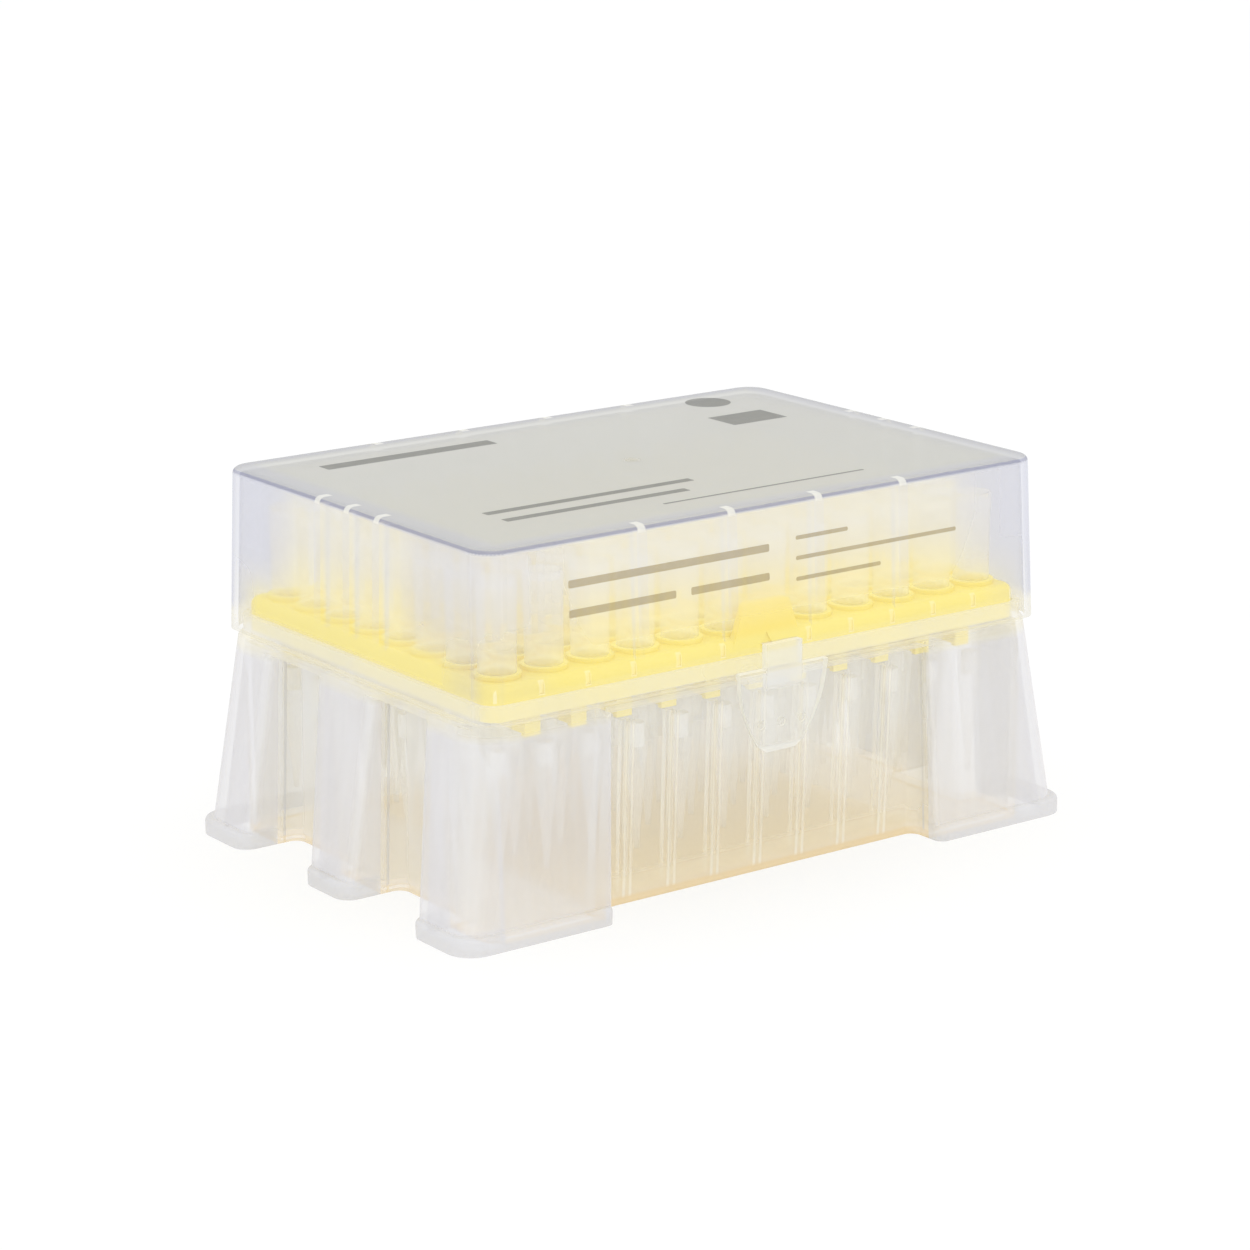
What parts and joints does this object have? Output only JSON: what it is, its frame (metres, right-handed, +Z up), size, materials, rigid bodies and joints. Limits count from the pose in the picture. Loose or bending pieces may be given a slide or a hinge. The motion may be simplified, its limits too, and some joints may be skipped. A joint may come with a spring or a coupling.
{
  "type": "box of pipette tips",
  "caption": "Hinged box of pipette tips: milky hollow-footed base, yellow drilled tip tray, clear filter tips standing in it, and a clear lid with a front latch.",
  "frame": {"origin": "middle of the underside of the foot flange, on the bench plane", "axes": "+X along the long side to the right, +Y from the latch side to the hinge side, +Z up"},
  "size_m": [0.1278, 0.0844, 0.0645],
  "materials": {
    "milky_base": "translucent milky polypropylene, satin",
    "yellow_tray": "moulded yellow polypropylene",
    "clear_lid": "clear polypropylene, glossy",
    "clear_tip": "clear polypropylene",
    "white_filter": "sintered porous polyethylene"
  },
  "bodies": {
    "base": {"base": "milky_base", "tip_tray": "yellow_tray", "tips_column_01": "clear_tip", "tips_column_02": "clear_tip", "tips_column_03": "clear_tip", "tips_column_04": "clear_tip", "tips_column_05": "clear_tip", "tips_column_06": "clear_tip", "tips_column_07": "clear_tip", "tips_column_08": "clear_tip", "tips_column_09": "clear_tip", "tips_column_10": "clear_tip", "tips_column_11": "clear_tip", "tips_column_12": "clear_tip", "filters_column_01": "white_filter", "filters_column_02": "white_filter", "filters_column_03": "white_filter", "filters_column_04": "white_filter", "filters_column_05": "white_filter", "filters_column_06": "white_filter", "filters_column_07": "white_filter", "filters_column_08": "white_filter", "filters_column_09": "white_filter", "filters_column_10": "white_filter", "filters_column_11": "white_filter", "filters_column_12": "white_filter"},
    "lid": {"lid": "clear_lid"}
  },
  "joints": [
    {"name": "lid_hinge", "type": "hinge", "parent": "base", "child": "lid", "pos_m": [0, 0.0395, 0.0325], "axis": [-1, 0, 0], "range_deg": [0, 110]}
  ]
}
